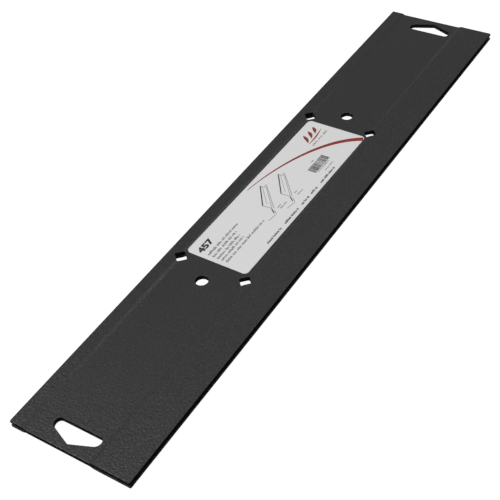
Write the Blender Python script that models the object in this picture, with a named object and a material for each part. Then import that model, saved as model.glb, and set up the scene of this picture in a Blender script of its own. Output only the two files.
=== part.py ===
"""Hand folding tool for sheet metal, 18 in long.

Two equal steel stampings lie back to back and are spot welded along a flat centre strip. Each
one is joggled away from the other beside the strip, so that a folding slot opens along both
long edges: a shallow one at +Y and a deep one at -Y. The tool lies flat on its lower plate, with
X along its length, +Z up and the origin at the centre of its underside.

Each stamping is made as three simple solids, cut along the outer foot of each joggle: its strip
with both joggles, and a flat jaw beside each one. That keeps the slots between the jaws open.
"""

import math

import bmesh
import bpy
from mathutils import Matrix, Vector

MM = 0.001

# Driving sizes
LENGTH = 457.2 * MM  # 18 in
WIDTH = 82.55 * MM  # 3 1/4 in
SHEET = 1.5 * MM  # thickness of the steel
JOGGLE = 0.9 * MM  # how far each plate steps away from the other
SHALLOW_SLOT = 9.525 * MM  # 3/8 in deep, along the +Y edge
DEEP_SLOT = 25.4 * MM  # 1 in deep, along the -Y edge
GAP = 0.3 * MM  # between neighbouring pieces

# Joggles: an S in each plate, centred where its slot ends
JOGGLE_RUN = 3.0 * MM  # measured across the tool
JOGGLE_STEPS = 8
SHALLOW_ROOT = WIDTH / 2 - SHALLOW_SLOT
DEEP_ROOT = DEEP_SLOT - WIDTH / 2
STRIP_CENTRE = (SHALLOW_ROOT + DEEP_ROOT) / 2
SHALLOW_FOOT = SHALLOW_ROOT + JOGGLE_RUN / 2  # where each joggle ends and its flat jaw begins
DEEP_FOOT = DEEP_ROOT - JOGGLE_RUN / 2
PLATE_CORNER_R = 0.8 * MM

# Heights, from the tool's underside up
HEIGHT = 2 * (SHEET + JOGGLE) + GAP
MIDDLE = HEIGHT / 2
STRIP_TOP = HEIGHT - JOGGLE

# Holes that go through both plates
PEG_HOLE_X = 91.3 * MM  # round holes, near the centre line of the strip
PEG_HOLE_Y = 8.3 * MM
PEG_HOLE_D = 8.3 * MM
WINDOW_X = 80.0 * MM  # square sight windows on the slots' ends, one corner towards the edge
WINDOW_SIDE = 6.6 * MM
WINDOW_CORNER_R = 0.8 * MM
GRIP_BASE_X = 212.4 * MM  # five-sided opening near each end: its straight inner side,
GRIP_LOBE_X = 218.3 * MM  # the ends of its two slanted sides,
GRIP_APEX_X = 224.6 * MM  # and its point
GRIP_CENTRE_Y = 3.65 * MM
GRIP_SPAN = 31.8 * MM  # across the tool
GRIP_BASE_R = 2.9 * MM
GRIP_LOBE_R = 4.1 * MM
GRIP_APEX_R = 0.6 * MM
CUTTER_HEIGHT = 4 * HEIGHT
HOLE_SIDES = 40
CORNER_STEPS = 5

# Spot welds: a lens of fused steel across the seam, half in each plate
WELD_D = 6.0 * MM
WELD_HALF_HEIGHT = 0.5 * MM
WELD_SIDES = 20
WELD_CROWN = 0.6  # radius of a weld's flat crown, as a share of its full radius
WELD_RIM = 0.3  # height of its upright rim, as a share of its full height
WELD_X = (45.0 * MM, 135.0 * MM, 190.0 * MM)  # each at both ends of the tool
WELD_ROW_OFFSET = 13.0 * MM  # each side of the strip's centre line

# Label, stuck on the strip of the upper plate
LABEL_LENGTH = 150.3 * MM
LABEL_WIDTH = SHALLOW_ROOT - DEEP_ROOT - JOGGLE_RUN  # the flat of the strip
LABEL_THICKNESS = 0.25 * MM
LABEL_CENTRE_X = 0.35 * MM
LABEL_CORNER_R = 3.0 * MM

MERGE_WITHIN = 0.0001 * MM


def clear_scene():
    for old in list(bpy.data.objects):
        bpy.data.objects.remove(old)


def new_collection(name):
    made = bpy.data.collections.new(name)
    bpy.context.scene.collection.children.link(made)
    return made


def material(name, colour, roughness, metallic):
    made = bpy.data.materials.new(name)
    made.use_nodes = True
    shader = made.node_tree.nodes["Principled BSDF"]
    shader.inputs["Base Color"].default_value = (*colour, 1.0)
    shader.inputs["Roughness"].default_value = roughness
    shader.inputs["Metallic"].default_value = metallic
    return made


def rounded_outline(corners, radii, steps=CORNER_STEPS):
    """Points round a convex outline, given anticlockwise, with an arc at each corner."""
    points = []
    for i, (corner, radius) in enumerate(zip(corners, radii)):
        here = Vector(corner)
        back = (Vector(corners[i - 1]) - here).normalized()
        ahead = (Vector(corners[(i + 1) % len(corners)]) - here).normalized()
        half_angle = back.angle(ahead) / 2
        centre = here + (back + ahead).normalized() * radius / math.sin(half_angle)
        first = here + back * radius / math.tan(half_angle) - centre
        sweep = math.pi - 2 * half_angle
        for step in range(steps + 1):
            points.append(centre + Matrix.Rotation(sweep * step / steps, 2) @ first)
    return points


def slab_from_outline(name, points, thickness, collection):
    """A mesh slab: the outline lies in XY, and the thickness is centred on it along Z."""
    curve = bpy.data.curves.new(name + "_outline", "CURVE")
    curve.dimensions = "2D"
    curve.fill_mode = "BOTH"
    curve.extrude = thickness / 2
    spline = curve.splines.new("POLY")
    spline.points.add(len(points) - 1)
    for place, point in zip(spline.points, points):
        place.co = (point[0], point[1], 0.0, 1.0)
    spline.use_cyclic_u = True
    drawn = bpy.data.objects.new(name + "_outline", curve)
    collection.objects.link(drawn)
    bpy.context.view_layer.update()
    evaluated = drawn.evaluated_get(bpy.context.evaluated_depsgraph_get())
    mesh = bpy.data.meshes.new_from_object(evaluated)
    bpy.data.objects.remove(drawn)
    weld_mesh(mesh)
    mesh.name = name
    made = bpy.data.objects.new(name, mesh)
    collection.objects.link(made)
    return made


def weld_mesh(mesh):
    shape = bmesh.new()
    shape.from_mesh(mesh)
    bmesh.ops.remove_doubles(shape, verts=shape.verts, dist=MERGE_WITHIN)
    bmesh.ops.recalc_face_normals(shape, faces=shape.faces)
    shape.to_mesh(mesh)
    shape.free()


def joggle_height(y):
    """How far the plate's middle surface has stepped away from the strip at y: a smooth S over each run."""
    beyond = max(y - SHALLOW_ROOT, DEEP_ROOT - y) / JOGGLE_RUN + 0.5
    share = min(max(beyond, 0.0), 1.0)
    return JOGGLE * share * share * (3.0 - 2.0 * share)


def plate_section(start, end):
    """The plate's outline across the tool from start to end, anticlockwise.

    Each point is (y, height above the middle of the seam).
    """
    stations = [start, end]
    for root in (DEEP_ROOT, SHALLOW_ROOT):
        for step in range(JOGGLE_STEPS + 1):
            y = root + JOGGLE_RUN * (step / JOGGLE_STEPS - 0.5)
            if start < y < end:
                stations.append(y)
    under = [(y, GAP / 2 + joggle_height(y)) for y in sorted(stations)]
    over = [(y, height + SHEET) for y, height in reversed(under)]
    return under + over


def cut(piece, cutter):
    modifier = piece.modifiers.new(cutter.name, "BOOLEAN")
    modifier.operation = "DIFFERENCE"
    modifier.solver = "EXACT"
    modifier.object = cutter


def hide_cutter(cutter):
    cutter.hide_render = True
    cutter.display_type = "WIRE"


def round_cutter(name, diameter, place, height, collection):
    mesh = bpy.data.meshes.new(name)
    shape = bmesh.new()
    bmesh.ops.create_cone(
        shape,
        cap_ends=True,
        segments=HOLE_SIDES,
        radius1=diameter / 2,
        radius2=diameter / 2,
        depth=height,
    )
    shape.to_mesh(mesh)
    shape.free()
    made = bpy.data.objects.new(name, mesh)
    made.location = place
    collection.objects.link(made)
    hide_cutter(made)
    return made


def window_cutter(name, place, collection):
    """A square with rounded corners, standing on one of them."""
    half_diagonal = WINDOW_SIDE / math.sqrt(2)
    corners = [(half_diagonal, 0), (0, half_diagonal), (-half_diagonal, 0), (0, -half_diagonal)]
    outline = rounded_outline(corners, [WINDOW_CORNER_R] * len(corners))
    made = slab_from_outline(name, outline, CUTTER_HEIGHT, collection)
    made.location = place
    hide_cutter(made)
    return made


def grip_cutter(name, side, collection):
    """The five-sided opening near one end: a straight inner side and a point towards the end."""
    near, lobe, apex = GRIP_BASE_X, GRIP_LOBE_X, GRIP_APEX_X
    half = GRIP_SPAN / 2
    corners = [(near, -half), (lobe, -half), (apex, 0.0), (lobe, half), (near, half)]
    if side < 0:
        corners = [(-x, y) for x, y in reversed(corners)]
    radius_at = {near: GRIP_BASE_R, lobe: GRIP_LOBE_R, apex: GRIP_APEX_R}
    radii = [radius_at[abs(x)] for x, _ in corners]
    made = slab_from_outline(name, rounded_outline(corners, radii), CUTTER_HEIGHT, collection)
    made.location = (0.0, GRIP_CENTRE_Y, 0.0)
    hide_cutter(made)
    return made


def blank_cutter(collection):
    """The stamping's blank: a rectangle with rounded corners, which the plate is cut down to."""
    x, y = LENGTH / 2, WIDTH / 2
    corners = [(x, -y), (x, y), (-x, y), (-x, -y)]
    outline = rounded_outline(corners, [PLATE_CORNER_R] * len(corners))
    made = slab_from_outline("blank", outline, CUTTER_HEIGHT, collection)
    hide_cutter(made)
    return made


def weld_places():
    for x in WELD_X:
        for side in (-1, 1):
            for row in (-1, 1):
                yield Vector((side * x, STRIP_CENTRE + row * WELD_ROW_OFFSET, MIDDLE))


def hole_cutters(collection):
    """Cutters for all that goes through the stamping, and for the fused zones on its seam side."""
    made = []
    for side in (-1, 1):
        end = "near" if side < 0 else "far"
        made.append(grip_cutter(f"grip_{end}", side, collection))
        peg_place = (side * PEG_HOLE_X, PEG_HOLE_Y, 0.0)
        made.append(round_cutter(f"peg_{end}", PEG_HOLE_D, peg_place, CUTTER_HEIGHT, collection))
        for slot, y in (("shallow", SHALLOW_ROOT), ("deep", DEEP_ROOT)):
            place = (side * WINDOW_X, y, 0.0)
            made.append(window_cutter(f"window_{slot}_{end}", place, collection))
    pocket_d = WELD_D + 2 * GAP
    pocket_height = 2 * (WELD_HALF_HEIGHT + GAP)
    for number, place in enumerate(weld_places(), start=1):
        seam_place = (place.x, place.y, 0.0)
        name = f"fused_zone_{number}"
        made.append(round_cutter(name, pocket_d, seam_place, pocket_height, collection))
    return made


def reaches(cutter, start, end):
    """Whether a cutter lies at least partly between y = start and y = end."""
    middle, half = cutter.location.y, cutter.dimensions.y / 2
    return middle + half > start and middle - half < end


def stamped_mesh(name, start, end, blank, holes, parts):
    """The stamping from y = start to y = end, seam side down, with the seam's middle at height 0."""
    section = [(-height, y) for y, height in plate_section(start, end)]
    stretch = slab_from_outline(name, section, LENGTH, parts)
    stretch.data.transform(Matrix.Rotation(math.pi / 2, 4, "Y"))
    keep = stretch.modifiers.new(blank.name, "BOOLEAN")
    keep.operation = "INTERSECT"
    keep.solver = "EXACT"
    keep.object = blank
    for hole in holes:
        if reaches(hole, start, end):
            cut(stretch, hole)
    bpy.context.view_layer.update()
    evaluated = stretch.evaluated_get(bpy.context.evaluated_depsgraph_get())
    mesh = bpy.data.meshes.new_from_object(evaluated)
    bpy.data.objects.remove(stretch)
    mesh.materials.clear()
    return mesh


def place_plates(coat, parts, cutters):
    """The same stamping twice: once as it is, once turned over end for end."""
    stretches = {
        "deep_jaw": (-WIDTH / 2, DEEP_FOOT - GAP / 2),
        "strip": (DEEP_FOOT + GAP / 2, SHALLOW_FOOT - GAP / 2),
        "shallow_jaw": (SHALLOW_FOOT + GAP / 2, WIDTH / 2),
    }
    blank = blank_cutter(cutters)
    holes = hole_cutters(cutters)
    bpy.context.view_layer.update()
    for stretch, (start, end) in stretches.items():
        mesh = stamped_mesh(stretch, start, end, blank, holes, parts)
        mesh.materials.append(coat)
        for name, turn in (("upper_plate", 0.0), ("lower_plate", math.pi)):
            plate = bpy.data.objects.new(f"{name}_{stretch}", mesh)
            plate.location = (0.0, 0.0, MIDDLE)
            plate.rotation_euler = (0.0, turn, 0.0)
            parts.objects.link(plate)


def place_welds(steel, parts):
    """Each weld is a low lens: a wide rim at the seam and a smaller flat crown in each plate."""
    radius = WELD_D / 2
    crown = radius * WELD_CROWN
    rim_height = WELD_HALF_HEIGHT * WELD_RIM
    rings = (
        (crown, -WELD_HALF_HEIGHT),
        (radius, -rim_height),
        (radius, rim_height),
        (crown, WELD_HALF_HEIGHT),
    )
    mesh = bpy.data.meshes.new("spot_weld")
    shape = bmesh.new()
    loops = []
    for ring_radius, height in rings:
        circle = bmesh.ops.create_circle(shape, segments=WELD_SIDES, radius=ring_radius)["verts"]
        bmesh.ops.translate(shape, verts=circle, vec=(0.0, 0.0, height))
        loops.append(circle)
    for lower, upper in zip(loops, loops[1:]):
        edges = {edge for vert in lower + upper for edge in vert.link_edges}
        ring_edges = [e for e in edges if set(e.verts) <= set(lower) or set(e.verts) <= set(upper)]
        bmesh.ops.bridge_loops(shape, edges=ring_edges)
    bmesh.ops.holes_fill(shape, edges=shape.edges, sides=WELD_SIDES)
    bmesh.ops.recalc_face_normals(shape, faces=shape.faces)
    shape.to_mesh(mesh)
    shape.free()
    mesh.materials.append(steel)
    for number, place in enumerate(weld_places(), start=1):
        weld = bpy.data.objects.new(f"spot_weld_{number:02d}", mesh)
        weld.location = place
        parts.objects.link(weld)


def place_label(vinyl, parts):
    x, y = LABEL_LENGTH / 2, LABEL_WIDTH / 2
    corners = [(x, -y), (x, y), (-x, y), (-x, -y)]
    outline = rounded_outline(corners, [LABEL_CORNER_R] * len(corners))
    label = slab_from_outline("label", outline, LABEL_THICKNESS, parts)
    label.location = (LABEL_CENTRE_X, STRIP_CENTRE, STRIP_TOP + GAP + LABEL_THICKNESS / 2)
    label.data.materials.append(vinyl)


def main():
    clear_scene()
    parts = new_collection("sheet_metal_folding_tool")
    cutters = new_collection("cutters")
    coat = material("black_powder_coat", (0.042, 0.042, 0.042), 0.55, 0.0)
    steel = material("fused_steel", (0.42, 0.42, 0.43), 0.4, 1.0)
    vinyl = material("label_vinyl", (0.67, 0.67, 0.67), 0.4, 0.0)
    place_plates(coat, parts, cutters)
    place_welds(steel, parts)
    place_label(vinyl, parts)


main()
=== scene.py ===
"""Looks of a hand folding tool for sheet metal: two joggled, powder coated steel plates and a label.

Every length is in metres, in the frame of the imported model: X along the tool, Y across it
towards the shallow slot, Z up, with the tool's underside at Z = 0.
"""

import logging
import math
from dataclasses import dataclass, field
from enum import Enum

import bpy
import numpy as np
from mathutils import Matrix, Vector


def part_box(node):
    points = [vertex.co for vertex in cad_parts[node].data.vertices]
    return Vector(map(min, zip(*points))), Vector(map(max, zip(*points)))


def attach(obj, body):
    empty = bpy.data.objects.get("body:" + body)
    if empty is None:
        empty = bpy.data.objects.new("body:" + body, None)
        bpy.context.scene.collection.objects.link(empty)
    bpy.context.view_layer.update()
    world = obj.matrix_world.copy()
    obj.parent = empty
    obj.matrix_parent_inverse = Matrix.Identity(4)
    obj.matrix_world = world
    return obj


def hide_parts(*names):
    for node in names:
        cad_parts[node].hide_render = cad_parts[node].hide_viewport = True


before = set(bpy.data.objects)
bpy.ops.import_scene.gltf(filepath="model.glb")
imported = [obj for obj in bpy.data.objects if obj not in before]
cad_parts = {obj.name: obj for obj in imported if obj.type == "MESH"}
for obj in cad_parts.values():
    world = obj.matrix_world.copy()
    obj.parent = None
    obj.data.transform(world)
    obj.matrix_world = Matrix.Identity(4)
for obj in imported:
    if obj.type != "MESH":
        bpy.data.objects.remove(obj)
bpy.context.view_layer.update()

Pair = tuple[float, float]
Colour = tuple[float, float, float]
Place = tuple[float, float, float]
Material = bpy.types.Material
Piece = bpy.types.Object
Socket = bpy.types.NodeSocket
Inputs = dict[str | int, float | tuple[float, ...] | Socket]

LOG = logging.getLogger("folding_tool")
ROOT_BODY = "root"
MM = 0.001
MERGE_WITHIN = 1e-7
STEP_SLACK = 1e-6
MOST_NOISE = (0.3, 0.7)
QUARTER_TURN = np.array([[0.0, 1.0], [-1.0, 0.0]])
FULL_TURN = 2 * np.pi


# --- Meshes ---


@dataclass
class Patchwork:
    """Collects patches of vertices and faces, and makes one closed mesh piece of them."""

    points: list[np.ndarray] = field(default_factory=list)
    quads: list[np.ndarray] = field(default_factory=list)
    count: int = 0

    def add(self, points: np.ndarray, quads: np.ndarray) -> None:
        """Adds one patch.

        Args:
            points: Vertices, shape (n, 3).
            quads: Faces as indices into points, shape (m, 4).
        """
        self.points.append(points.reshape(-1, 3))
        self.quads.append(quads + self.count)
        self.count += self.points[-1].shape[0]

    def add_grid(self, grid: np.ndarray, closed: bool = False, flip: bool = False) -> None:
        """Adds a grid of vertices, joined to its neighbours by quads.

        Row k and column i join to row k + 1 and column i + 1. Seen from outside, the columns
        run anticlockwise round the rows' direction, or the other way where flip is set.

        Args:
            grid: Vertices, shape (rows, columns, 3).
            closed: Whether the last column joins the first.
            flip: Whether to turn every face over.
        """
        rows, columns = grid.shape[:2]
        index = np.arange(rows * columns).reshape(rows, columns)
        if closed:
            index = np.concatenate([index, index[:, :1]], axis=1)
        a, b = index[:-1, :-1], index[:-1, 1:]
        c, d = index[1:, 1:], index[1:, :-1]
        order = (a, d, c, b) if flip else (a, b, c, d)
        self.add(grid, np.stack(order, axis=-1).reshape(-1, 4))

    def piece(self, name: str, smooth: bool = True) -> Piece:
        """Makes the mesh object, with its seams merged.

        Args:
            name: Name of the piece.
            smooth: Whether its faces are shaded smooth.

        Returns:
            The new object, linked to the scene, at the origin.
        """
        mesh = bpy.data.meshes.new(name)
        points, faces = merged(np.concatenate(self.points), np.concatenate(self.quads))
        mesh.from_pydata(points, [], faces)
        mesh.validate()
        mesh.polygons.foreach_set("use_smooth", np.full(len(mesh.polygons), smooth))
        mesh.update()
        return linked(name, mesh)


def linked(name: str, data: bpy.types.ID) -> Piece:
    """Makes an object and links it to the scene.

    Args:
        name: Its name.
        data: Its mesh, text, light or camera.

    Returns:
        The object.
    """
    made = bpy.data.objects.new(name, data)
    bpy.context.scene.collection.objects.link(made)
    return made


def merged(points: np.ndarray, quads: np.ndarray) -> tuple[np.ndarray, list[list[int]]]:
    """Merges vertices that share a place, and drops the corners and faces that this empties.

    Args:
        points: Vertices, shape (n, 3).
        quads: Faces, shape (m, 4).

    Returns:
        The vertices that are left, and the faces as lists of three or four indices.
    """
    places = np.round(points / MERGE_WITHIN).astype(np.int64)
    _, first, index = np.unique(places, axis=0, return_index=True, return_inverse=True)
    faces = index.reshape(-1)[quads]
    repeated = faces == np.roll(faces, 1, axis=1)
    corners = 4 - repeated.sum(axis=1)
    whole = faces[corners == 4].tolist()
    cut = faces[corners == 3][~repeated[corners == 3]].reshape(-1, 3).tolist()
    return points[first], whole + cut


def prisms(low: np.ndarray, high: np.ndarray) -> tuple[np.ndarray, np.ndarray]:
    """Closed prisms between quadrilaterals below and the same ones above.

    Args:
        low: Lower corners, anticlockwise from above, shape (n, 4, 3).
        high: Upper corners in the same order, shape (n, 4, 3).

    Returns:
        Vertices, shape (8 n, 3), and quads, shape (6 n, 4), facing out.
    """
    points = np.concatenate([low, high], axis=1)
    faces = np.array(
        [[3, 2, 1, 0], [4, 5, 6, 7], [0, 1, 5, 4], [1, 2, 6, 5], [2, 3, 7, 6], [3, 0, 4, 7]]
    )
    starts = 8 * np.arange(len(points))[:, None, None]
    return points.reshape(-1, 3), (faces[None] + starts).reshape(-1, 4)


def leftward(along: np.ndarray) -> np.ndarray:
    """Unit vectors square to given directions, on their left, shape (n, 2)."""
    along = along / np.linalg.norm(along, axis=1, keepdims=True)
    return np.stack([-along[:, 1], along[:, 0]], axis=1)


def smoothstep(share: np.ndarray) -> np.ndarray:
    """An S from 0 to 1: three times the share squared, less twice its cube."""
    share = np.clip(share, 0.0, 1.0)
    return share * share * (3.0 - 2.0 * share)


def spaced(keys: set[float], spans: list[Pair], inside: float, outside: float) -> np.ndarray:
    """Values from the lowest key to the highest, through every key, evenly spaced between keys.

    Args:
        keys: Values that the result must hold, besides the ends of the spans.
        spans: Stretches with a spacing of their own.
        inside: The largest spacing wanted within a span.
        outside: The largest spacing wanted elsewhere.

    Returns:
        The values, rising.
    """
    stops = sorted(keys.union(*spans))
    runs = []
    for low, high in zip(stops, stops[1:]):
        spanned = any(span[0] < (low + high) / 2 < span[1] for span in spans)
        count = math.ceil((high - low) / (inside if spanned else outside) - STEP_SLACK)
        runs.append(np.linspace(low, high, max(1, count), endpoint=False))
    return np.concatenate([*runs, [stops[-1]]])


# --- Finishes ---


class Shader:
    """A node tree under construction round one Principled shader."""

    def __init__(self, name: str) -> None:
        """Starts a material with an empty Principled shader.

        Args:
            name: Name of the material.
        """
        self.material = bpy.data.materials.new(name)
        self.material.use_nodes = True
        self.tree = self.material.node_tree
        self.surface = self.tree.nodes["Principled BSDF"]
        self.place = self.tree.nodes.new("ShaderNodeTexCoord").outputs["Object"]

    def node(self, kind: str, output: str, inputs: Inputs, **options: str) -> Socket:
        """Adds a node.

        Args:
            kind: The node's type, without the prefix that all of them share.
            output: Name of the output that is wanted.
            inputs: For each input, by name or number, a value to set or a socket to link.
            options: The node's own options.

        Returns:
            The output.
        """
        made = self.tree.nodes.new(f"ShaderNode{kind}")
        for name, option in options.items():
            setattr(made, name, option)
        for name, value in inputs.items():
            if isinstance(value, Socket):
                self.tree.links.new(value, made.inputs[name])
            else:
                made.inputs[name].default_value = value
        return made.outputs[output]

    def noise(self, size: float, detail: float = 2.0, roughness: float = 0.5) -> Socket:
        """A cloudy pattern, about 0.5 on average: clouds of a size in metres, and finer layers."""
        inputs = {"Scale": 1.0 / size, "Detail": detail, "Roughness": roughness, "Vector": self.place}
        return self.node("TexNoise", "Fac", inputs)

    def pebbles(self, size: float, softness: float) -> Socket:
        """Rounded grains a size apart, as distance from each one's middle, in grains."""
        inputs = {"Scale": 1.0 / size, "Smoothness": softness, "Vector": self.place}
        return self.node("TexVoronoi", "Distance", inputs, feature="SMOOTH_F1")

    def lengthwise(self) -> Socket:
        """The place along the object's own X, in metres."""
        return self.node("SeparateXYZ", "X", {"Vector": self.place})

    def product(self, one: Socket, other: Socket) -> Socket:
        """Two patterns multiplied."""
        return self.node("Math", "Value", {0: one, 1: other}, operation="MULTIPLY")

    def ranged(self, value: Socket, source: Pair = MOST_NOISE, target: Pair = (0.0, 1.0)) -> Socket:
        """Stretches a pattern from one range of values to another.

        Args:
            value: The pattern.
            source: The range that it has, by default that of most of a noise pattern.
            target: The range that it is to have.

        Returns:
            The stretched pattern.
        """
        names = ("From Min", "From Max", "To Min", "To Max")
        inputs = dict(zip(names, (*source, *target)))
        return self.node("MapRange", "Result", {**inputs, "Value": value})

    def colours(self, value: Socket, low: Colour, high: Colour) -> None:
        """Sets the base colour to a mix of two colours by a pattern.

        Args:
            value: The pattern, from 0 to 1.
            low: Linear colour where the pattern is 0.
            high: Linear colour where the pattern is 1.
        """
        inputs = {"A": (*low, 1.0), "B": (*high, 1.0), "Factor": value}
        mixed = self.node("Mix", "Result", inputs, data_type="RGBA")
        self.tree.links.new(mixed, self.surface.inputs["Base Color"])

    def bumps(self, *layers: tuple[Socket, float]) -> None:
        """Raises the surface by one pattern after another.

        Args:
            layers: Each a pattern and its height in metres.
        """
        below = {}
        for value, height in layers:
            normal = self.node("Bump", "Normal", {"Distance": height, "Height": value, **below})
            below = {"Normal": normal}
        self.tree.links.new(normal, self.surface.inputs["Normal"])

    def roughness(self, value: Socket) -> None:
        """Lets a pattern set the roughness."""
        self.tree.links.new(value, self.surface.inputs["Roughness"])

    def set(self, name: str, value: float | tuple[float, ...]) -> None:
        """Gives one of the shader's own sockets a constant value."""
        self.surface.inputs[name].default_value = value


@dataclass(frozen=True)
class PowderCoat:
    """Black textured powder coat: soft pebbles with a fine leathery grain over them, and painted
    glints as lighter specks in its base colour.

    The coat lies a little thinner towards the tool's +X end, and so does its texture.
    """

    dark: Colour = (0.002, 0.002, 0.0021)
    # The light colour is that of the lighter specks, which are painted glints.
    light: Colour = (0.0245, 0.0245, 0.025)
    pebble: float = 1.5 * MM
    pebble_height: float = 0.18 * MM
    grain: float = 0.6 * MM
    grain_height: float = 0.21 * MM
    # Size of the lighter specks in the base colour, which are painted glints of the textured coat.
    glint_speckle: float = 0.7 * MM
    cloud: float = 40 * MM
    reach: float = 230 * MM
    thinning: Pair = (1.0, 0.35)
    roughness: Pair = (0.27, 0.35)

    def material(self) -> Material:
        """Builds the finish's node material.

        Returns:
            The material.
        """
        shader = Shader("powder_coat")
        pebbles = shader.pebbles(self.pebble, softness=0.8)
        grain = shader.noise(self.grain, detail=3.0, roughness=0.6)
        # Painted glints: lighter specks mixed into the base colour stand in for the coat's glints.
        glint_speckle = shader.noise(self.glint_speckle, detail=1.0)
        cloud = shader.noise(self.cloud, detail=3.0)
        shader.colours(shader.ranged(glint_speckle), self.dark, self.light)
        shader.roughness(shader.ranged(cloud, target=self.roughness))
        thickness = shader.ranged(shader.lengthwise(), (-self.reach, self.reach), self.thinning)
        pebbles, grain = (shader.product(value, thickness) for value in (pebbles, grain))
        shader.bumps((pebbles, -self.pebble_height), (grain, self.grain_height))
        return shader.material


@dataclass(frozen=True)
class LabelFilm:
    """Pale grey printed vinyl with a faint satin ripple."""

    low: Colour = (0.65, 0.65, 0.65)
    high: Colour = (0.69, 0.69, 0.69)
    ripple: float = 9 * MM
    ripple_height: float = 0.01 * MM
    fibre: float = 0.3 * MM
    roughness: Pair = (0.3, 0.4)

    def material(self) -> Material:
        """Builds the finish's node material.

        Returns:
            The material.
        """
        shader = Shader("label_film")
        ripple = shader.noise(self.ripple)
        shader.colours(shader.ranged(shader.noise(self.fibre)), self.low, self.high)
        shader.roughness(shader.ranged(ripple, target=self.roughness))
        shader.bumps((ripple, self.ripple_height))
        return shader.material


class Ink(Enum):
    """The label's printing inks, as pairs of linear colours: thinly and thickly laid."""

    BLACK = ((0.018, 0.018, 0.018), (0.010, 0.010, 0.010))
    GREY = ((0.24, 0.24, 0.24), (0.18, 0.18, 0.18))
    RED = ((0.26, 0.026, 0.016), (0.20, 0.016, 0.009))


@dataclass(frozen=True)
class PrintInk:
    """One ink, printed in fine dots that lie a little unevenly."""

    ink: Ink
    dot: float = 0.12 * MM
    dot_height: float = 0.002 * MM
    dot_range: Pair = (0.35, 0.65)
    roughness: Pair = (0.35, 0.5)

    def material(self) -> Material:
        """Builds the finish's node material.

        Returns:
            The material.
        """
        shader = Shader(f"ink_{self.ink.name.lower()}")
        dots = shader.noise(self.dot, detail=1.0)
        shader.colours(shader.ranged(dots, self.dot_range), *self.ink.value)
        shader.roughness(shader.ranged(dots, self.dot_range, self.roughness))
        shader.bumps((dots, self.dot_height))
        return shader.material


@dataclass(frozen=True)
class FusedSteel:
    """Bare steel that has been melted and has set again in fine crystals."""

    low: Colour = (0.30, 0.29, 0.28)
    high: Colour = (0.48, 0.47, 0.46)
    crystal: float = 0.4 * MM
    crystal_height: float = 0.01 * MM
    crystal_range: Pair = (0.1, 0.7)
    roughness: Pair = (0.3, 0.5)

    def material(self) -> Material:
        """Builds the finish's node material.

        Returns:
            The material.
        """
        shader = Shader("fused_steel")
        crystals = shader.pebbles(self.crystal, softness=0.3)
        shader.colours(shader.ranged(crystals, self.crystal_range), self.low, self.high)
        shader.roughness(shader.ranged(crystals, self.crystal_range, self.roughness))
        shader.bumps((crystals, self.crystal_height))
        shader.set("Metallic", 1.0)
        return shader.material


@dataclass(frozen=True)
class StudioFloor:
    """A plain pale floor with a barely visible unevenness, which glows."""

    low: Colour = (0.1, 0.1, 0.1)
    high: Colour = (0.12, 0.12, 0.12)
    cloud: float = 0.4
    roughness: Pair = (0.85, 0.95)
    shine: float = 0.1
    glow: float = 0.96
    glow_colour: Colour = (1.0, 1.0, 1.0)

    def material(self) -> Material:
        """Builds the finish's node material.

        Returns:
            The material.
        """
        shader = Shader("studio_floor")
        cloud = shader.noise(self.cloud)
        shader.colours(cloud, self.low, self.high)
        shader.roughness(shader.ranged(cloud, target=self.roughness))
        shader.set("Specular IOR Level", self.shine)
        shader.set("Emission Color", (*self.glow_colour, 1.0))
        shader.set("Emission Strength", self.glow)
        return shader.material


@dataclass(frozen=True)
class DarkCloth:
    """Matt black cloth with a woven unevenness."""

    low: Colour = (0.02, 0.02, 0.02)
    high: Colour = (0.035, 0.035, 0.035)
    weave: float = 1.0 * MM
    weave_height: float = 0.1 * MM
    roughness: Pair = (0.85, 0.95)
    shine: float = 0.1

    def material(self) -> Material:
        """Builds the finish's node material.

        Returns:
            The material.
        """
        shader = Shader("dark_cloth")
        weave = shader.noise(self.weave)
        shader.colours(weave, self.low, self.high)
        shader.roughness(shader.ranged(weave, target=self.roughness))
        shader.bumps((weave, self.weave_height))
        shader.set("Specular IOR Level", self.shine)
        return shader.material


# --- The tool's own sizes ---


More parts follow.
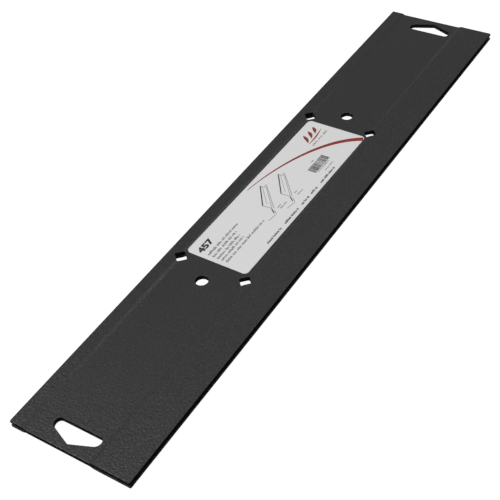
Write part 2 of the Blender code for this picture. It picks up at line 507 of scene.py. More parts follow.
@dataclass(frozen=True)
class ToolSizes:
    """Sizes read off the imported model's boxes, and the few that a box can't give."""

    half_length: float
    half_width: float
    height: float
    sheet: float
    joggle: float
    shallow_foot: float
    deep_foot: float
    joggle_run: float = 3.0 * MM
    seam: float = 0.03 * MM

    @classmethod
    def from_frame(cls) -> "ToolSizes":
        """Reads the sizes off the CAD nodes' boxes.

        Returns:
            The tool's sizes.
        """
        strip_low, strip_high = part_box("upper_plate_strip")
        jaw_low, jaw_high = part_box("upper_plate_deep_jaw")
        far_jaw_low, far_jaw_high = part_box("upper_plate_shallow_jaw")
        sheet = jaw_high.z - jaw_low.z
        return cls(
            half_length=jaw_high.x,
            half_width=far_jaw_high.y,
            height=jaw_high.z,
            sheet=sheet,
            joggle=jaw_low.z - strip_low.z,
            shallow_foot=(strip_high.y + far_jaw_low.y) / 2,
            deep_foot=(strip_low.y + jaw_high.y) / 2,
        )

    @property
    def roots(self) -> Pair:
        """Y of the middles of both joggles, the shallow slot's first."""
        half_run = self.joggle_run / 2
        return self.shallow_foot - half_run, self.deep_foot + half_run

    def rise(self, y: np.ndarray) -> np.ndarray:
        """A plate's share of the joggle: a smooth S from 0 on the strip to 1 on both jaws.

        Args:
            y: Places across the tool.

        Returns:
            The share at each place.
        """
        shallow, deep = self.roots
        beyond = np.maximum(y - shallow, deep - y)
        return smoothstep(beyond / self.joggle_run + 0.5)

    def over(self, y: np.ndarray) -> np.ndarray:
        """Height of the upper plate's outer face: its strip's height plus the joggle's rise."""
        return self.height - self.joggle * (1.0 - self.rise(y))

    def under(self, y: np.ndarray) -> np.ndarray:
        """Height of the upper plate's seam side: the closed seam, opening to the slot's roof.

        Args:
            y: Places across the tool.

        Returns:
            The height at each place.
        """
        roof = self.height - self.sheet
        closed = self.height / 2 + self.seam / 2
        return closed + (roof - closed) * self.rise(y)


# --- Outlines ---


@dataclass(frozen=True)
class Outline:
    """A convex outline with rounded corners, about its own centre."""

    centre: Pair
    corners: tuple[Pair, ...]
    radii: tuple[float, ...]
    arc_points: int = 13
    turn_weight: float = 0.6

    def arcs(self) -> tuple[np.ndarray, np.ndarray]:
        """Points and outward normals along the corners' arcs, anticlockwise.

        An arc's centre lies back from its corner by the radius times the sum of its two
        sides' normals, over one plus their dot product. The normal turns evenly along it.

        Returns:
            Points relative to the centre, and unit normals, both of shape (n, 2).
        """
        corner = np.array(self.corners)
        radius = np.array(self.radii)[:, None]
        before = -leftward(corner - np.roll(corner, 1, axis=0))
        after = np.roll(before, -1, axis=0)
        together = 1.0 + (before * after).sum(axis=1, keepdims=True)
        middle = corner - radius * (before + after) / together
        start = np.arctan2(before[:, 1], before[:, 0])[:, None]
        end = np.arctan2(after[:, 1], after[:, 0])[:, None]
        turn = np.mod(end - start, FULL_TURN)
        angle = start + turn * np.linspace(0.0, 1.0, self.arc_points)
        normal = np.stack([np.cos(angle), np.sin(angle)], axis=-1)
        points = middle[:, None] + radius[:, None] * normal
        return points.reshape(-1, 2), normal.reshape(-1, 2)

    def facing(self, towards: np.ndarray) -> tuple[np.ndarray, np.ndarray]:
        """Points of the outline that face given directions, crowded where it bends.

        Each point of the outline has a blend of two angles, that of the line to it from the
        centre and that of its normal. The result is where this blend equals each direction.

        Args:
            towards: Angles, rising over one turn.

        Returns:
            Points in the tool's frame, and unit normals, both of shape (n, 2).
        """
        points, normals = self.arcs()
        bearing = np.unwrap(np.arctan2(points[:, 1], points[:, 0]))
        heading = np.unwrap(np.arctan2(normals[:, 1], normals[:, 0]))
        heading += FULL_TURN * np.round((bearing - heading).mean() / FULL_TURN)
        blend = (1 - self.turn_weight) * bearing + self.turn_weight * heading
        around = np.concatenate([blend - FULL_TURN, blend, blend + FULL_TURN])
        wanted = np.mod(towards - around[0], FULL_TURN) + around[0] + FULL_TURN
        found = [
            np.interp(wanted, around, np.tile(values, 3))
            for values in (*points.T, *normals.T)
        ]
        normal = np.stack(found[2:], axis=1)
        normal /= np.linalg.norm(normal, axis=1, keepdims=True)
        return np.stack(found[:2], axis=1) + self.centre, normal


def diamond(centre: Pair, reach: float, radius: float) -> Outline:
    """A square on its corner, with its corners rounded and at a reach from its centre."""
    corners = ((reach, 0.0), (0.0, reach), (-reach, 0.0), (0.0, -reach))
    return Outline(centre, corners, (radius,) * 4)


def round_hole(centre: Pair, radius: float) -> Outline:
    """A circle, as a square on its corner whose four arcs meet."""
    return diamond(centre, radius * math.sqrt(2), radius)


# --- The stamped plates ---


@dataclass(frozen=True)
class Opening:
    """A hole through a plate, and the rectangle of plate that is meshed round it."""

    outline: Outline
    low: Pair
    high: Pair

    @classmethod
    def boxed(cls, outline: Outline, reach: float) -> "Opening":
        """An opening in a square that reaches the same distance each way from its centre."""
        x, y = outline.centre
        return cls(outline, (x - reach, y - reach), (x + reach, y + reach))

    def holds(self, x: np.ndarray, y: np.ndarray) -> np.ndarray:
        """Whether places lie in the rectangle."""
        inside_x = (x > self.low[0]) & (x < self.high[0])
        return inside_x & (y > self.low[1]) & (y < self.high[1])

    def rim(self, xs: np.ndarray, ys: np.ndarray) -> np.ndarray:
        """The rectangle's border, with a point on every grid line that meets it, shape (n, 2)."""
        return border(
            xs[(xs >= self.low[0]) & (xs <= self.high[0])],
            ys[(ys >= self.low[1]) & (ys <= self.high[1])],
        )


def border(xs: np.ndarray, ys: np.ndarray) -> np.ndarray:
    """Points round a rectangle of grid lines, anticlockwise from its low corner.

    Args:
        xs: The rectangle's grid lines along X.
        ys: The rectangle's grid lines along Y.

    Returns:
        The points, shape (n, 2), with none repeated.
    """
    bottom = np.stack([xs[:-1], np.full(xs.size - 1, ys[0])], axis=1)
    right = np.stack([np.full(ys.size - 1, xs[-1]), ys[:-1]], axis=1)
    top = np.stack([xs[:0:-1], np.full(xs.size - 1, ys[-1])], axis=1)
    left = np.stack([np.full(ys.size - 1, xs[0]), ys[:0:-1]], axis=1)
    return np.concatenate([bottom, right, top, left])


@dataclass(frozen=True)
class EdgeProfile:
    """A sheared sheet's edge: its rolled upper arris, its wall and its sharp lower arris.

    Each station is a distance back from the wall, a share of the way from the upper face to
    the lower one, and a lift from there.
    """

    rolled: float
    sharp: float
    arc_steps: int = 6
    wall_steps: int = 3

    def stations(self) -> np.ndarray:
        """Places every station of the edge: two quarter circles with a straight wall between.

        Returns:
            The stations from the upper face round to the lower one, shape (n, 3).
        """
        angle = np.linspace(0.0, np.pi / 2, self.arc_steps + 1)
        back, drop = 1.0 - np.sin(angle), 1.0 - np.cos(angle)
        flat = np.zeros_like(angle)
        upper = np.stack([self.rolled * back, flat, -self.rolled * drop], axis=1)
        lower = np.stack([self.sharp * back, flat + 1.0, self.sharp * drop], axis=1)[::-1]
        share = np.linspace(0.0, 1.0, self.wall_steps + 1)[1:-1]
        lift = (1.0 - share) * -self.rolled + share * self.sharp
        wall = np.stack([np.zeros_like(share), share, lift], axis=1)
        return np.concatenate([upper, wall, lower])


@dataclass
class StampedPlates:
    """Both stampings: the same joggled plate, once as it is and once turned over end for end."""

    sizes: ToolSizes
    corner_radius: float = 0.8 * MM
    corner_points: int = 7
    rolled_arris: float = 0.45 * MM
    sharp_arris: float = 0.15 * MM
    hole_arris: float = 0.28 * MM
    border_width: float = 1.6 * MM
    coarse: float = 5.0 * MM
    fine: float = 1.0 * MM
    joggle_step: float = 0.375 * MM
    peg_hole_x: float = 91.3 * MM
    peg_hole_y: float = 8.3 * MM
    peg_hole_radius: float = 4.15 * MM
    peg_hole_reach: float = 7.5 * MM
    window_x: float = 80.0 * MM
    window_side: float = 6.6 * MM
    window_radius: float = 0.8 * MM
    window_reach: float = 6.5 * MM
    grip_base_x: float = 212.4 * MM
    grip_lobe_x: float = 218.3 * MM
    grip_apex_x: float = 224.6 * MM
    grip_centre_y: float = 3.65 * MM
    grip_span: float = 31.8 * MM
    grip_base_radius: float = 2.9 * MM
    grip_lobe_radius: float = 4.1 * MM
    grip_apex_radius: float = 0.6 * MM
    grip_base_margin: float = 2.6 * MM
    grip_apex_margin: float = 1.6 * MM
    grip_side_margin: float = 2.5 * MM
    rim_shares: tuple[float, ...] = (0.0, 0.3, 0.55, 0.75, 0.88, 0.95)

    def openings(self) -> list[Opening]:
        """Lays out every hole in a plate.

        Returns:
            The holes, each with the rectangle that is meshed round it.
        """
        found = []
        for side in (-1, 1):
            found.append(self.grip(side))
            peg_hole = round_hole((side * self.peg_hole_x, self.peg_hole_y), self.peg_hole_radius)
            found.append(Opening.boxed(peg_hole, self.peg_hole_reach))
            for root in self.sizes.roots:
                centre = (side * self.window_x, root)
                window = diamond(centre, self.window_side / math.sqrt(2), self.window_radius)
                found.append(Opening.boxed(window, self.window_reach))
        return found

    def grip(self, side: int) -> Opening:
        """The five-sided opening near one end, with its point towards the end.

        Args:
            side: 1 at the +X end, -1 at the other.

        Returns:
            The opening.
        """
        middle = (self.grip_base_x + self.grip_lobe_x) / 2
        base, lobe, apex = (
            x - middle for x in (self.grip_base_x, self.grip_lobe_x, self.grip_apex_x)
        )
        half = self.grip_span / 2
        corners = [(base, -half), (lobe, -half), (apex, 0.0), (lobe, half), (base, half)]
        radii = [self.grip_base_radius, self.grip_lobe_radius, self.grip_apex_radius]
        radii += radii[1::-1]
        if side < 0:
            corners = [(-x, y) for x, y in reversed(corners)]
        outline = Outline((side * middle, self.grip_centre_y), tuple(corners), tuple(radii))
        inner = self.grip_base_x - self.grip_base_margin
        outer = self.grip_apex_x + self.grip_apex_margin
        low_x, high_x = sorted((side * inner, side * outer))
        low_y = self.grip_centre_y - half - self.grip_side_margin
        high_y = self.grip_centre_y + half + self.grip_side_margin
        return Opening(outline, (low_x, low_y), (high_x, high_y))

    def grid_lines(self, openings: list[Opening]) -> tuple[np.ndarray, np.ndarray]:
        """Grid lines of the plate's faces: close together at openings and across joggles.

        Args:
            openings: The plate's holes.

        Returns:
            The lines' X and their Y, both rising.
        """
        edge_x = self.sizes.half_length - self.border_width
        edge_y = self.sizes.half_width - self.border_width
        half_run = self.sizes.joggle_run / 2
        widths = [(opening.low[0], opening.high[0]) for opening in openings]
        runs = [(root - half_run, root + half_run) for root in self.sizes.roots]
        cuts = {y for opening in openings for y in (opening.low[1], opening.high[1])}
        xs = spaced({-edge_x, 0.0, edge_x}, widths, self.fine, self.coarse)
        ys = spaced({-edge_y, edge_y} | cuts, runs, self.joggle_step, self.fine)
        return xs, ys

    def faces(self, work: Patchwork, xs: np.ndarray, ys: np.ndarray, openings: list[Opening]) -> None:
        """Adds both faces of the plate, all but the rectangles round its openings.

        A vertex stands on each crossing of the grid lines, at the face's height there.

        Args:
            work: What to add to.
            xs: Grid lines along X.
            ys: Grid lines along Y.
            openings: The plate's holes.
        """
        x, y = np.meshgrid(xs, ys)
        index = np.arange(x.size).reshape(x.shape)
        quads = np.stack([index[:-1, :-1], index[:-1, 1:], index[1:, 1:], index[1:, :-1]], axis=-1)
        middle_x = (x[:-1, :-1] + x[1:, 1:]) / 2
        middle_y = (y[:-1, :-1] + y[1:, 1:]) / 2
        kept = np.ones(middle_x.shape, bool)
        for opening in openings:
            kept &= ~opening.holds(middle_x, middle_y)
        quads = quads[kept]
        work.add(np.stack([x, y, self.sizes.over(y)], axis=-1), quads)
        work.add(np.stack([x, y, self.sizes.under(y)], axis=-1), quads[:, ::-1])

    def band(
        self, rim: np.ndarray, edge: np.ndarray, into: np.ndarray, profile: EdgeProfile
    ) -> np.ndarray:
        """Plate from a rim on its upper face to an edge, round it, and back along its lower face.

        Each point of the rim has a point of the edge, and the profile is carried from one to
        the other: straight along the faces, and round the edge by the edge profile.

        Args:
            rim: Points on the faces, shape (n, 2).
            edge: Points of the wall, shape (n, 2).
            into: Unit directions from the wall into the steel, shape (n, 2).
            profile: The edge's profile.

        Returns:
            Vertices, shape (stations, n, 3).
        """
        back, share, lift = (values[:, None] for values in profile.stations().T)
        wall = edge[None] + back[..., None] * into[None]
        shares = np.array(self.rim_shares)[:, None, None]
        across = rim[None] + shares * (wall[0] - rim)[None]
        plan = np.concatenate([across, wall, across[::-1]])
        flat = np.zeros((len(shares), 1))
        share = np.concatenate([flat, share, flat + 1.0])
        lift = np.concatenate([flat, lift, flat])
        y = plan[..., 1]
        z = (1.0 - share) * self.sizes.over(y) + share * self.sizes.under(y) + lift
        return np.concatenate([plan, z[..., None]], axis=-1)

    def side_and_corner(
        self, lines: np.ndarray, reach: float, along: float
    ) -> tuple[np.ndarray, np.ndarray, np.ndarray]:
        """One straight side of the plate and the corner after it, with the side facing +X.

        The corner's points are its arc's centre plus the radius times each outward direction.

        Args:
            lines: Places of the grid lines that meet the side, rising.
            reach: Distance from the plate's centre to the side.
            along: Distance from the plate's centre to the next side.

        Returns:
            Points of the grid's border, points of the outline, and outward directions.
        """
        angle = np.linspace(0.0, np.pi / 2, self.corner_points)
        arc = np.stack([np.cos(angle), np.sin(angle)], axis=1)
        centre = np.array([reach, along]) - self.corner_radius
        rim, edge = (
            np.stack([np.full(lines.size, place), lines], axis=1)
            for place in (reach - self.border_width, reach)
        )
        rim = np.concatenate([rim, np.tile(rim[-1], (angle.size, 1))])
        edge = np.concatenate([edge, centre + self.corner_radius * arc])
        outward = np.concatenate([np.tile([1.0, 0.0], (lines.size, 1)), arc])
        return rim, edge, outward

    def outer_edge(self, xs: np.ndarray, ys: np.ndarray) -> tuple[np.ndarray, np.ndarray, np.ndarray]:
        """The plate's own outline, matched point for point with the border of its grid.

        Straight sides keep the grid lines' places. Each corner of the border is repeated for
        the points of the quarter circle that rounds it.

        Args:
            xs: Grid lines along X.
            ys: Grid lines along Y.

        Returns:
            The border's points, the outline's, and the directions into the steel.
        """
        length, width = self.sizes.half_length, self.sizes.half_width
        sides = [
            self.side_and_corner(ys, length, width),
            self.side_and_corner(-xs[::-1], width, length),
            self.side_and_corner(-ys[::-1], length, width),
            self.side_and_corner(xs, width, length),
        ]
        turns = [np.linalg.matrix_power(QUARTER_TURN, turn) for turn in range(len(sides))]
        rim, edge, outward = (
            np.concatenate([points @ turn for points, turn in zip(part, turns)])
            for part in zip(*sides)
        )
        return rim, edge, -outward

    def upper_work(self) -> Patchwork:
        """Meshes the upper plate.

        Returns:
            Its patches: both faces, a band round each opening, and one round the plate.
        """
        work = Patchwork()
        openings = self.openings()
        xs, ys = self.grid_lines(openings)
        self.faces(work, xs, ys, openings)
        pierced = EdgeProfile(self.hole_arris, self.sharp_arris)
        for opening in openings:
            rim = opening.rim(xs, ys)
            away = rim - np.array(opening.outline.centre)
            edge, normal = opening.outline.facing(np.arctan2(away[:, 1], away[:, 0]))
            work.add_grid(self.band(rim, edge, normal, pierced), closed=True)
        sheared = EdgeProfile(self.rolled_arris, self.sharp_arris)
        work.add_grid(self.band(*self.outer_edge(xs, ys), sheared), closed=True, flip=True)
        return work

    def build(self, coat: Material) -> list[Piece]:
        """Makes both plates and coats them.

        Args:
            coat: The powder coat.

        Returns:
            The upper plate and the lower one.
        """
        upper = self.upper_work()
        lower = Patchwork(
            [points * (-1, 1, -1) + (0, 0, self.sizes.height) for points in upper.points],
            upper.quads,
            upper.count,
        )
        made = []
        for name, work in (("upper_plate", upper), ("lower_plate", lower)):
            plate = work.piece(name)
            plate.data.materials.append(coat)
            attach(plate, ROOT_BODY)
            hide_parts(f"{name}_strip", f"{name}_shallow_jaw", f"{name}_deep_jaw")
            made.append(plate)
        return made


# --- The label ---
# Artwork lies in the label's own frame, U along the label and V across it, from its centre.
# A stroke is a row of start u, start v, end u, end v and width.


@dataclass(frozen=True)
class SmallPrint:
    """Rows of plain marks that stand for small print, with gaps where words would end.

    Each row is its start and end along U and its middle across V, in millimetres. Sizes
    called shares are shares of the height of a tall mark.
    """

    tall: float
    rows: tuple[tuple[float, float, float], ...]
    ink: Ink = Ink.BLACK
    weight: float = 0.5
    pitch_share: float = 0.42
    foot_share: float = 0.34
    heights: tuple[float, ...] = (0.68, 0.68, 0.68, 1.0)
    word_marks: tuple[int, int] = (4, 12)
    word_gap: float = 1.5
    joined: float = 0.6
    bar_share: float = 0.16
    bar_levels: Pair = (0.08, 0.6)
    low_bars: float = 0.5

    def strokes(
        self, start: float, end: float, middle: float, random: np.random.Generator
    ) -> np.ndarray:
        """Strokes of one row: upright marks, some taller, and short bars between some of them.

        Args:
            start: Place of the row's start along U.
            end: Place of its end along U.
            middle: Place of its middle across V.
            random: Source of the marks' heights, the words' lengths and the bars.

        Returns:
            The strokes, shape (n, 5).
        """
        pitch = self.tall * self.pitch_share
        count = int((end - start) / pitch)
        places = start + pitch * (np.arange(count) + 0.5)
        word_ends = np.cumsum(random.integers(*self.word_marks, size=count))
        kept = ~np.isin(np.arange(count), word_ends)
        height = self.tall * random.choice(self.heights, size=count)[kept]
        places = places[kept]
        foot = middle - self.tall * self.foot_share
        same = np.ones(places.size)
        low, line = foot * same, pitch * self.weight * same
        uprights = np.stack([places, low, places, low + height, line], axis=1)
        joined = random.random(places.size) < self.joined
        levels = np.where(random.random(places.size) < self.low_bars, *self.bar_levels)
        level, line = foot + levels * self.tall, self.tall * self.bar_share * same
        bars = np.stack([places, level, places + pitch, level, line], axis=1)
        word_end = np.append(np.diff(places) > self.word_gap * pitch, True)
        return np.concatenate([uprights, bars[joined & ~word_end]])

    def draw(self, random: np.random.Generator) -> np.ndarray:
        """Strokes of all the rows, one row after another, shape (n, 5)."""
        rows = [[place * MM for place in row] for row in self.rows]
        return np.concatenate([self.strokes(*row, random) for row in rows])


@dataclass(frozen=True)
class BarBlock:
    """A block of upright bars of three widths, which stands for a machine-read code."""

    start: float = 25.8 * MM
    end: float = 45.0 * MM
    low: float = -11.3 * MM
    high: float = -4.8 * MM
    module: float = 0.21 * MM
    bar_modules: tuple[int, ...] = (1, 1, 2, 3)
    gap_modules: tuple[int, ...] = (1, 1, 2)
    most_bars: int = 200

    def draw(self, random: np.random.Generator) -> np.ndarray:
        """Draws the bars that fit between start and end.

        Args:
            random: Source of the bars' widths and gaps.

        Returns:
            Their strokes, shape (n, 5).
        """
        widths = self.module * random.choice(self.bar_modules, size=self.most_bars)
        gaps = self.module * random.choice(self.gap_modules, size=self.most_bars)
        left = self.start + np.cumsum(widths + gaps) - widths
        kept = left + widths < self.end
        middle, width = (left + widths / 2)[kept], widths[kept]
        flat = np.ones(middle.size)
        return np.stack([middle, self.low * flat, middle, self.high * flat, width], axis=1)


@dataclass(frozen=True)
class FoldDrawing:
    """A small line drawing of a sheet's edge that a long flat tool is folding up.

    Its strokes are in millimetres from the drawing's raised near corner.
    """

    thick: tuple[tuple[float, ...], ...] = (
        (0.0, 0.0, 16.0, 12.2, 0.75),
        (0.0, -7.0, -2.8, -10.6, 0.7),
    )
    thin: tuple[tuple[float, ...], ...] = (
        (0.0, 0.0, 0.5, -6.9, 0.5),
        (0.2, -7.1, 16.6, 7.8, 0.35),
        (1.4, -7.7, 18.8, 9.0, 0.4),
        (2.7, -1.4, 16.2, 10.6, 0.3),
        (16.0, 12.2, 16.6, 7.8, 0.35),
        (16.3, 9.2, 19.0, 9.4, 0.4),
        (0.1, -9.0, -2.6, -12.1, 0.4),
        (-3.0, -12.3, -10.4, -11.1, 0.45),
    )

    def draw(self, u: float, v: float) -> tuple[np.ndarray, np.ndarray]:
        """The thick strokes and the thin ones, with the raised near corner at (u, v)."""
        origin = np.array([u, v, u, v, 0.0])
        return origin + np.array(self.thick) * MM, origin + np.array(self.thin) * MM


@dataclass(frozen=True)
class Sweep:
    """The label's sweeping arc: a cubic curve by four control points, wider all along.

    Its control points and widths are in millimetres. The width is the first width plus the
    growth times the share of the way to the power 1.5.
    """

    controls: tuple[Pair, ...] = ((-9.5, 20.1), (7.7, 18.5), (57.5, 7.1), (71.8, -22.0))
    first_width: float = 0.5
    growth: float = 3.3
    power: float = 1.5
    points: int = 90

    def draw(self) -> tuple[np.ndarray, np.ndarray]:
        """Draws the arc.

        Returns:
            Its middle line, shape (n, 2), and its widths, shape (n,).
        """
        t = np.linspace(0.0, 1.0, self.points)[:, None]
        weights = np.concatenate([(1 - t) ** 3, 3 * (1 - t) ** 2 * t, 3 * (1 - t) * t**2, t**3], 1)
        widths = (self.first_width + self.growth * t[:, 0] ** self.power) * MM
        return weights @ (np.array(self.controls) * MM), widths


@dataclass(frozen=True)
class Emblem:
    """A plain emblem: three leaning brush strokes over a curved underline, in millimetres."""

    first: Pair = (51.4, 9.6)
    step: Pair = (5.8, 0.7)
    lean: Pair = (5.4, 7.6)
    shrink: float = 1.1
    bend: float = 0.9
    brush: float = 2.3
    under_start: Pair = (50.6, 8.7)
    under_run: Pair = (18.8, 1.4)
    under_sag: float = 0.7
    under_brush: float = 0.9
    tip: float = 0.2
    count: int = 3
    points: int = 24

    def draw(self) -> list[tuple[np.ndarray, np.ndarray]]:
        """Draws the strokes.

        A stroke is a straight line bent by a half sine wave, and its width is a half sine
        wave too, so that it runs to a point at both ends.

        Returns:
            The middle line and the widths of each stroke.
        """
        t = np.linspace(0.0, 1.0, self.points)
        swell = np.sin(np.pi * t)
        drawn = []
        for number in range(self.count):
            start = np.array(self.first) + np.array(self.step) * number
            run = np.array(self.lean) - (0.0, self.shrink * number)
            path = start + t[:, None] * run
            path[:, 0] += self.bend * swell
            drawn.append((path * MM, (self.tip + self.brush * swell) * MM))
        u = self.under_start[0] + self.under_run[0] * t
        v = self.under_start[1] - self.under_sag * swell + self.under_run[1] * t
        drawn.append((np.stack([u, v], 1) * MM, (self.tip + self.under_brush * swell) * MM))
        return drawn


@dataclass(frozen=True)
class Heading:
    """The tool's length in millimetres, in heavy figures that fill a box."""

    figures: str = "457"
    type_size: float = 7.0 * MM
    weight: float = 0.34 * MM
    curve_steps: int = 4
    corner: Pair = (-73.0, 12.0)
    box: Pair = (13.5, 5.1)

    def mesh(self, thickness: float) -> bpy.types.Mesh:
        """The figures as a closed mesh about Z = 0; fitted stretches their plan to the box.

        Args:
            thickness: How far they reach above and below.

        Returns:
            The mesh.
        """
        text = bpy.data.curves.new("label_heading", "FONT")
        text.body = self.figures
        text.size = self.type_size
        text.offset = self.weight
        text.extrude = thickness
        text.resolution_u = self.curve_steps
        drawn = linked("label_heading_text", text)
        bpy.context.view_layer.update()
        evaluated = drawn.evaluated_get(bpy.context.evaluated_depsgraph_get())
        mesh = bpy.data.meshes.new_from_object(evaluated)
        bpy.data.objects.remove(drawn)
        return mesh

    def fitted(self, plan: np.ndarray) -> np.ndarray:
        """Plan points stretched evenly, so that they fill the box."""
        low, high = plan.min(axis=0), plan.max(axis=0)
        return (np.array(self.corner) + (plan - low) / (high - low) * self.box) * MM


# Rows of small print: start and end along U, and middle across V, in millimetres.
WORDING = (
    (-72.5, -39.3, 7.9),
    (-72.5, -45.9, 4.4),
    (-72.5, -47.4, 0.9),
    (-72.5, -47.7, -2.2),
    (-72.5, -28.7, -5.6),
)
DRAWING_NOTES = ((-15.1, -11.0, -7.1), (-14.8, -7.4, -9.1), (2.1, 5.4, -9.3), (1.6, 8.1, -12.0))
FOOT_LINE = (
    (-46.9, -30.2, -19.3),
    (-26.1, -9.2, -19.3),
    (-5.5, 4.0, -19.3),
    (6.2, 14.6, -19.3),
    (18.6, 37.6, -19.3),
)
EMBLEM_LINE = ((50.4, 56.9, 5.4), (58.2, 64.0, 5.4), (64.5, 69.7, 5.4))
CODE_NOTES = ((34.4, 37.6, -3.0), (27.6, 42.2, -12.2), (31.3, 42.1, -15.4))
SMALL_PRINT = (
    SmallPrint(1.9 * MM, WORDING),
    SmallPrint(1.1 * MM, DRAWING_NOTES),
    SmallPrint(1.7 * MM, FOOT_LINE, weight=0.72),
    SmallPrint(1.4 * MM, EMBLEM_LINE, Ink.RED, weight=0.6),
    SmallPrint(1.0 * MM, CODE_NOTES),
)


@dataclass
class Label:
    """Printed label: a thin film that follows the strip and climbs a little up both joggles."""

    sizes: ToolSizes
    length: float = 150.3 * MM
    width: float = 45.0 * MM
    cut_offset: Pair = (-0.65 * MM, 0.0)
    centre: Pair = (1.0 * MM, 8.2 * MM)
    turn: float = math.radians(-0.6)
    corner_radius: float = 3.0 * MM
    film: float = 0.12 * MM
    ink_film: float = 0.012 * MM
    rounding: float = 0.6
    outline_points: int = 260
    wide_rings: tuple[float, float, int] = (0.0, 0.9, 10)
    close_rings: tuple[float, float, int] = (0.91, 0.999, 14)
    drawing_places: tuple[Pair, ...] = ((-18.0 * MM, 2.7 * MM), (-2.4 * MM, -1.7 * MM))
    small_print: tuple[SmallPrint, ...] = SMALL_PRINT
    seed: int = 18

    def placed(self, local: np.ndarray, lift: float) -> np.ndarray:
        """Moves points from the label's frame onto the plate.

        The plan is turned by the label's small tilt and moved to its centre. The height is
        that of the plate's outer face there, plus the lift.

        Args:
            local: Points as (u, v), shape (..., 2).
            lift: Height above the plate.

        Returns:
            Points in the tool's frame, shape (..., 3).
        """
        cos, sin = math.cos(self.turn), math.sin(self.turn)
        x = self.centre[0] + cos * local[..., 0] - sin * local[..., 1]
        y = self.centre[1] + sin * local[..., 0] + cos * local[..., 1]
        return np.stack([x, y, self.sizes.over(y) + lift], axis=-1)

    def sheet(self) -> Piece:
        """The film itself: its rounded outline shrunk towards the centre, ring by ring.

        Returns:
            The piece, a closed sheet with slightly rounded edges.
        """
        half_u, half_v = self.length / 2, self.width / 2
        corners = ((half_u, -half_v), (half_u, half_v), (-half_u, half_v), (-half_u, -half_v))
        outline = Outline(self.cut_offset, corners, (self.corner_radius,) * 4)
        around = np.linspace(-np.pi, np.pi, self.outline_points, endpoint=False)
        edge, _ = outline.facing(around)
        rings = np.concatenate([np.linspace(*self.wide_rings), np.linspace(*self.close_rings)])
        middle = np.array(self.cut_offset)
        spread = middle + (edge - middle) * rings[:, None, None]
        top = self.placed(spread, self.film)
        rim = self.placed(edge[None], self.film * self.rounding)
        foot = self.placed(edge[None], 0.0)
        under = self.placed(spread[::-1], 0.0)
        work = Patchwork()
        work.add_grid(np.concatenate([top, rim, foot, under]), closed=True, flip=True)
        return work.piece("label_sheet")

    def add_strokes(self, work: Patchwork, strokes: np.ndarray) -> None:
        """Adds straight strokes of ink as thin closed prisms on the film.

        A stroke's corners lie half its width either side of its ends, square to its line.

        Args:
            work: What to add to.
            strokes: The strokes, shape (n, 5).
        """
        start, end, width = strokes[:, 0:2], strokes[:, 2:4], strokes[:, 4:5]
        side = leftward(end - start) * width / 2
        corners = np.stack([start - side, end - side, end + side, start + side], axis=1)
        low = self.placed(corners, self.film - self.ink_film)
        high = self.placed(corners, self.film + self.ink_film)
        work.add(*prisms(low, high))

    def add_ribbon(self, work: Patchwork, path: np.ndarray, widths: np.ndarray) -> None:
        """Adds a curved stroke of changing width as a thin closed ribbon on the film.

        Its sides lie half the width to the left and right of the path, square to it.

        Args:
            work: What to add to.
            path: Points of its middle line, shape (n, 2).
            widths: Its width at each point, shape (n,).
        """
        side = leftward(np.gradient(path, axis=0)) * widths[:, None] / 2
        left, right = path + side, path - side
        low, high = self.film - self.ink_film, self.film + self.ink_film
        section = ((left, high), (right, high), (right, low), (left, low))
        grid = np.stack([self.placed(line, lift) for line, lift in section], axis=1)
        ends = grid.mean(axis=1, keepdims=True)
        first, last = (np.repeat(end, len(section), axis=1) for end in (ends[:1], ends[-1:]))
        closed = np.concatenate([first, grid, last])
        work.add_grid(closed, closed=True)

    def prints(self) -> dict[Ink, Patchwork]:
        """Meshes everything that is printed as strokes and ribbons.

        Returns:
            The patches of each ink.
        """
        random = np.random.default_rng(self.seed)
        prints = {ink: Patchwork() for ink in Ink}
        for block in self.small_print:
            self.add_strokes(prints[block.ink], block.draw(random))
        for place in self.drawing_places:
            thick, thin = FoldDrawing().draw(*place)
            self.add_strokes(prints[Ink.BLACK], thick)
            self.add_strokes(prints[Ink.GREY], thin)
        self.add_strokes(prints[Ink.BLACK], BarBlock().draw(random))
        for ribbon in (Sweep().draw(), *Emblem().draw()):
            self.add_ribbon(prints[Ink.RED], *ribbon)
        return prints

    def heading(self) -> Piece:
        """The heading's figures on the film.

        Returns:
            The piece, a closed film of ink.
        """
        heading = Heading()
        mesh = heading.mesh(self.ink_film)
        points = np.empty(len(mesh.vertices) * 3)
        mesh.vertices.foreach_get("co", points)
        points = points.reshape(-1, 3)
        shaped = self.placed(heading.fitted(points[:, :2]), self.film)
        shaped[:, 2] += points[:, 2]
        mesh.vertices.foreach_set("co", shaped.ravel())
        mesh.update()
        return linked("label_heading", mesh)

    def build(self) -> list[Piece]:
        """Makes the film and all that is printed on it.

        Returns:
            The film, the prints in each ink, and the heading.
        """
        sheet = self.sheet()
        sheet.data.materials.append(LabelFilm().material())
        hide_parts("label")
        made = [sheet]
        inks = {ink: PrintInk(ink).material() for ink in Ink}
        for ink, work in self.prints().items():
            made.append(work.piece(f"label_print_{ink.name.lower()}", smooth=False))
            made[-1].data.materials.append(inks[ink])
        made.append(self.heading())
        made[-1].data.materials.append(inks[Ink.BLACK])
        for piece in made:
            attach(piece, ROOT_BODY)
        return made


# --- Spot welds ---


@dataclass
class SpotWelds:
    """The fused zones between the plates, which keep their own solids."""

    prefix: str = "spot_weld_"

    def dress(self) -> list[Piece]:
        """Gives every weld its bare steel.

        Returns:
            The welds.
        """
        steel = FusedSteel().material()
        welds = [node for name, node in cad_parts.items() if name.startswith(self.prefix)]
        for weld in welds:
            weld.data.materials.clear()
            weld.data.materials.append(steel)
        return welds


# --- Studio ---


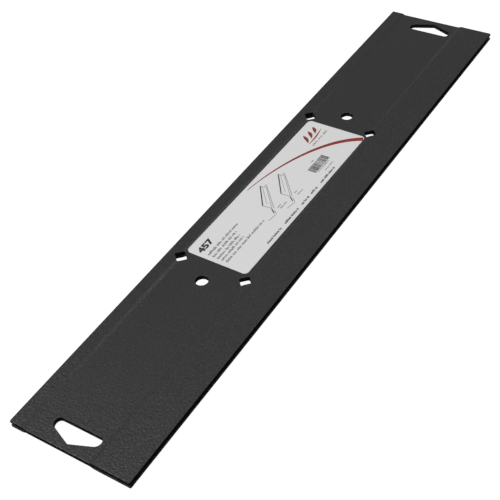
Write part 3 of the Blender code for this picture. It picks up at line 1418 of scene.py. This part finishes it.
@dataclass(frozen=True)
class Softbox:
    """A rectangular soft light that faces the tool."""

    name: str
    place: Place
    size: Pair
    watts: float

    def build(self) -> None:
        """Hangs the light."""
        light = bpy.data.lights.new(self.name, "AREA")
        light.shape = "RECTANGLE"
        light.size, light.size_y = self.size
        light.energy = self.watts
        made = linked(self.name, light)
        made.location = self.place
        made.rotation_euler = (-Vector(self.place)).to_track_quat("-Z", "Y").to_euler()


@dataclass
class Studio:
    """Plain pale floor, soft light from above and behind, and the camera."""

    floor_half: float = 12.0
    floor_lines: int = 9
    floor_drop: float = 0.05 * MM
    cloth_drop: float = 1.0 * MM
    sky: float = 0.335
    sky_colour: Colour = (1.0, 1.0, 1.0)
    softboxes: tuple[Softbox, ...] = (
        Softbox("softbox_main", (-0.75, 0.75, 1.45), (1.0, 1.0), 20.3),
        Softbox("softbox_over_near", (0.0, 0.85, 1.1), (0.5, 0.55), 0.5),
        Softbox("softbox_over_middle", (0.45, -0.35, 1.1), (0.45, 0.45), 2.0),
        Softbox("softbox_over_far", (0.55, 0.3, 1.1), (0.6, 0.6), 0.7),
        Softbox("softbox_over_back", (0.95, -0.35, 1.1), (0.5, 0.55), 0.45),
        Softbox("softbox_low", (0.4, 1.4, 0.25), (0.5, 0.3), 0.25),
    )
    camera_place: Place = (-0.422126, -0.287158, 0.440376)
    camera_aim: Place = (-0.054236, -0.002651, 0.00255)
    camera_roll: float = math.radians(-7.6176)
    lens: float = 74.03
    sensor: float = 36.0
    nearest: float = 0.01

    def spread(self, name: str, drop: float, cover: Material) -> Piece:
        """Lays a large square sheet under the tool.

        Args:
            name: Its name.
            drop: How far below the tool's underside it lies.
            cover: Its finish.

        Returns:
            The stage piece.
        """
        side = np.linspace(-self.floor_half, self.floor_half, self.floor_lines)
        x, y = np.meshgrid(side, side)
        work = Patchwork()
        work.add_grid(np.stack([x, y, np.full_like(x, -drop)], axis=-1))
        made = work.piece(name)
        made.data.materials.append(cover)
        return made

    def floor(self) -> None:
        """The floor, lit from within like a light table, over a dark cloth.

        The floor lights nothing and is reflected in nothing, and the cloth keeps the sky's
        light from reaching the tool from below.
        """
        floor = self.spread("floor", self.floor_drop, StudioFloor().material())
        floor.visible_diffuse = False
        floor.visible_glossy = False
        self.spread("floor_backing", self.cloth_drop, DarkCloth().material())

    def world(self) -> None:
        """Even white light from every side."""
        world = bpy.data.worlds.new("studio")
        world.use_nodes = True
        background = world.node_tree.nodes["Background"]
        background.inputs["Color"].default_value = (*self.sky_colour, 1.0)
        background.inputs["Strength"].default_value = self.sky
        bpy.context.scene.world = world

    def camera(self) -> None:
        """The scene's camera, rolled about its line of sight."""
        data = bpy.data.cameras.new("camera")
        data.lens = self.lens
        data.sensor_width = self.sensor
        data.clip_start = self.nearest
        made = linked("camera", data)
        place, aim = Vector(self.camera_place), Vector(self.camera_aim)
        facing = (aim - place).to_track_quat("-Z", "Y").to_matrix().to_4x4()
        roll = Matrix.Rotation(self.camera_roll, 4, "Z")
        made.matrix_world = Matrix.Translation(place) @ facing @ roll
        bpy.context.scene.camera = made

    def build(self) -> None:
        """Sets up floor, light and camera."""
        self.floor()
        self.world()
        for softbox in self.softboxes:
            softbox.build()
        self.camera()
        bpy.context.scene.view_settings.view_transform = "Standard"


def report(pieces: list[Piece]) -> None:
    """Logs each piece's name and number of faces."""
    for piece in pieces:
        LOG.info("%s: %d faces", piece.name, len(piece.data.polygons))


def main() -> None:
    """Builds the studio, then the tool from its sub-assemblies."""
    logging.basicConfig(level=logging.INFO, format="%(message)s")
    sizes = ToolSizes.from_frame()
    Studio().build()
    report(StampedPlates(sizes).build(PowderCoat().material()))
    report(SpotWelds().dress())
    report(Label(sizes).build())


if __name__ == "__main__":
    main()
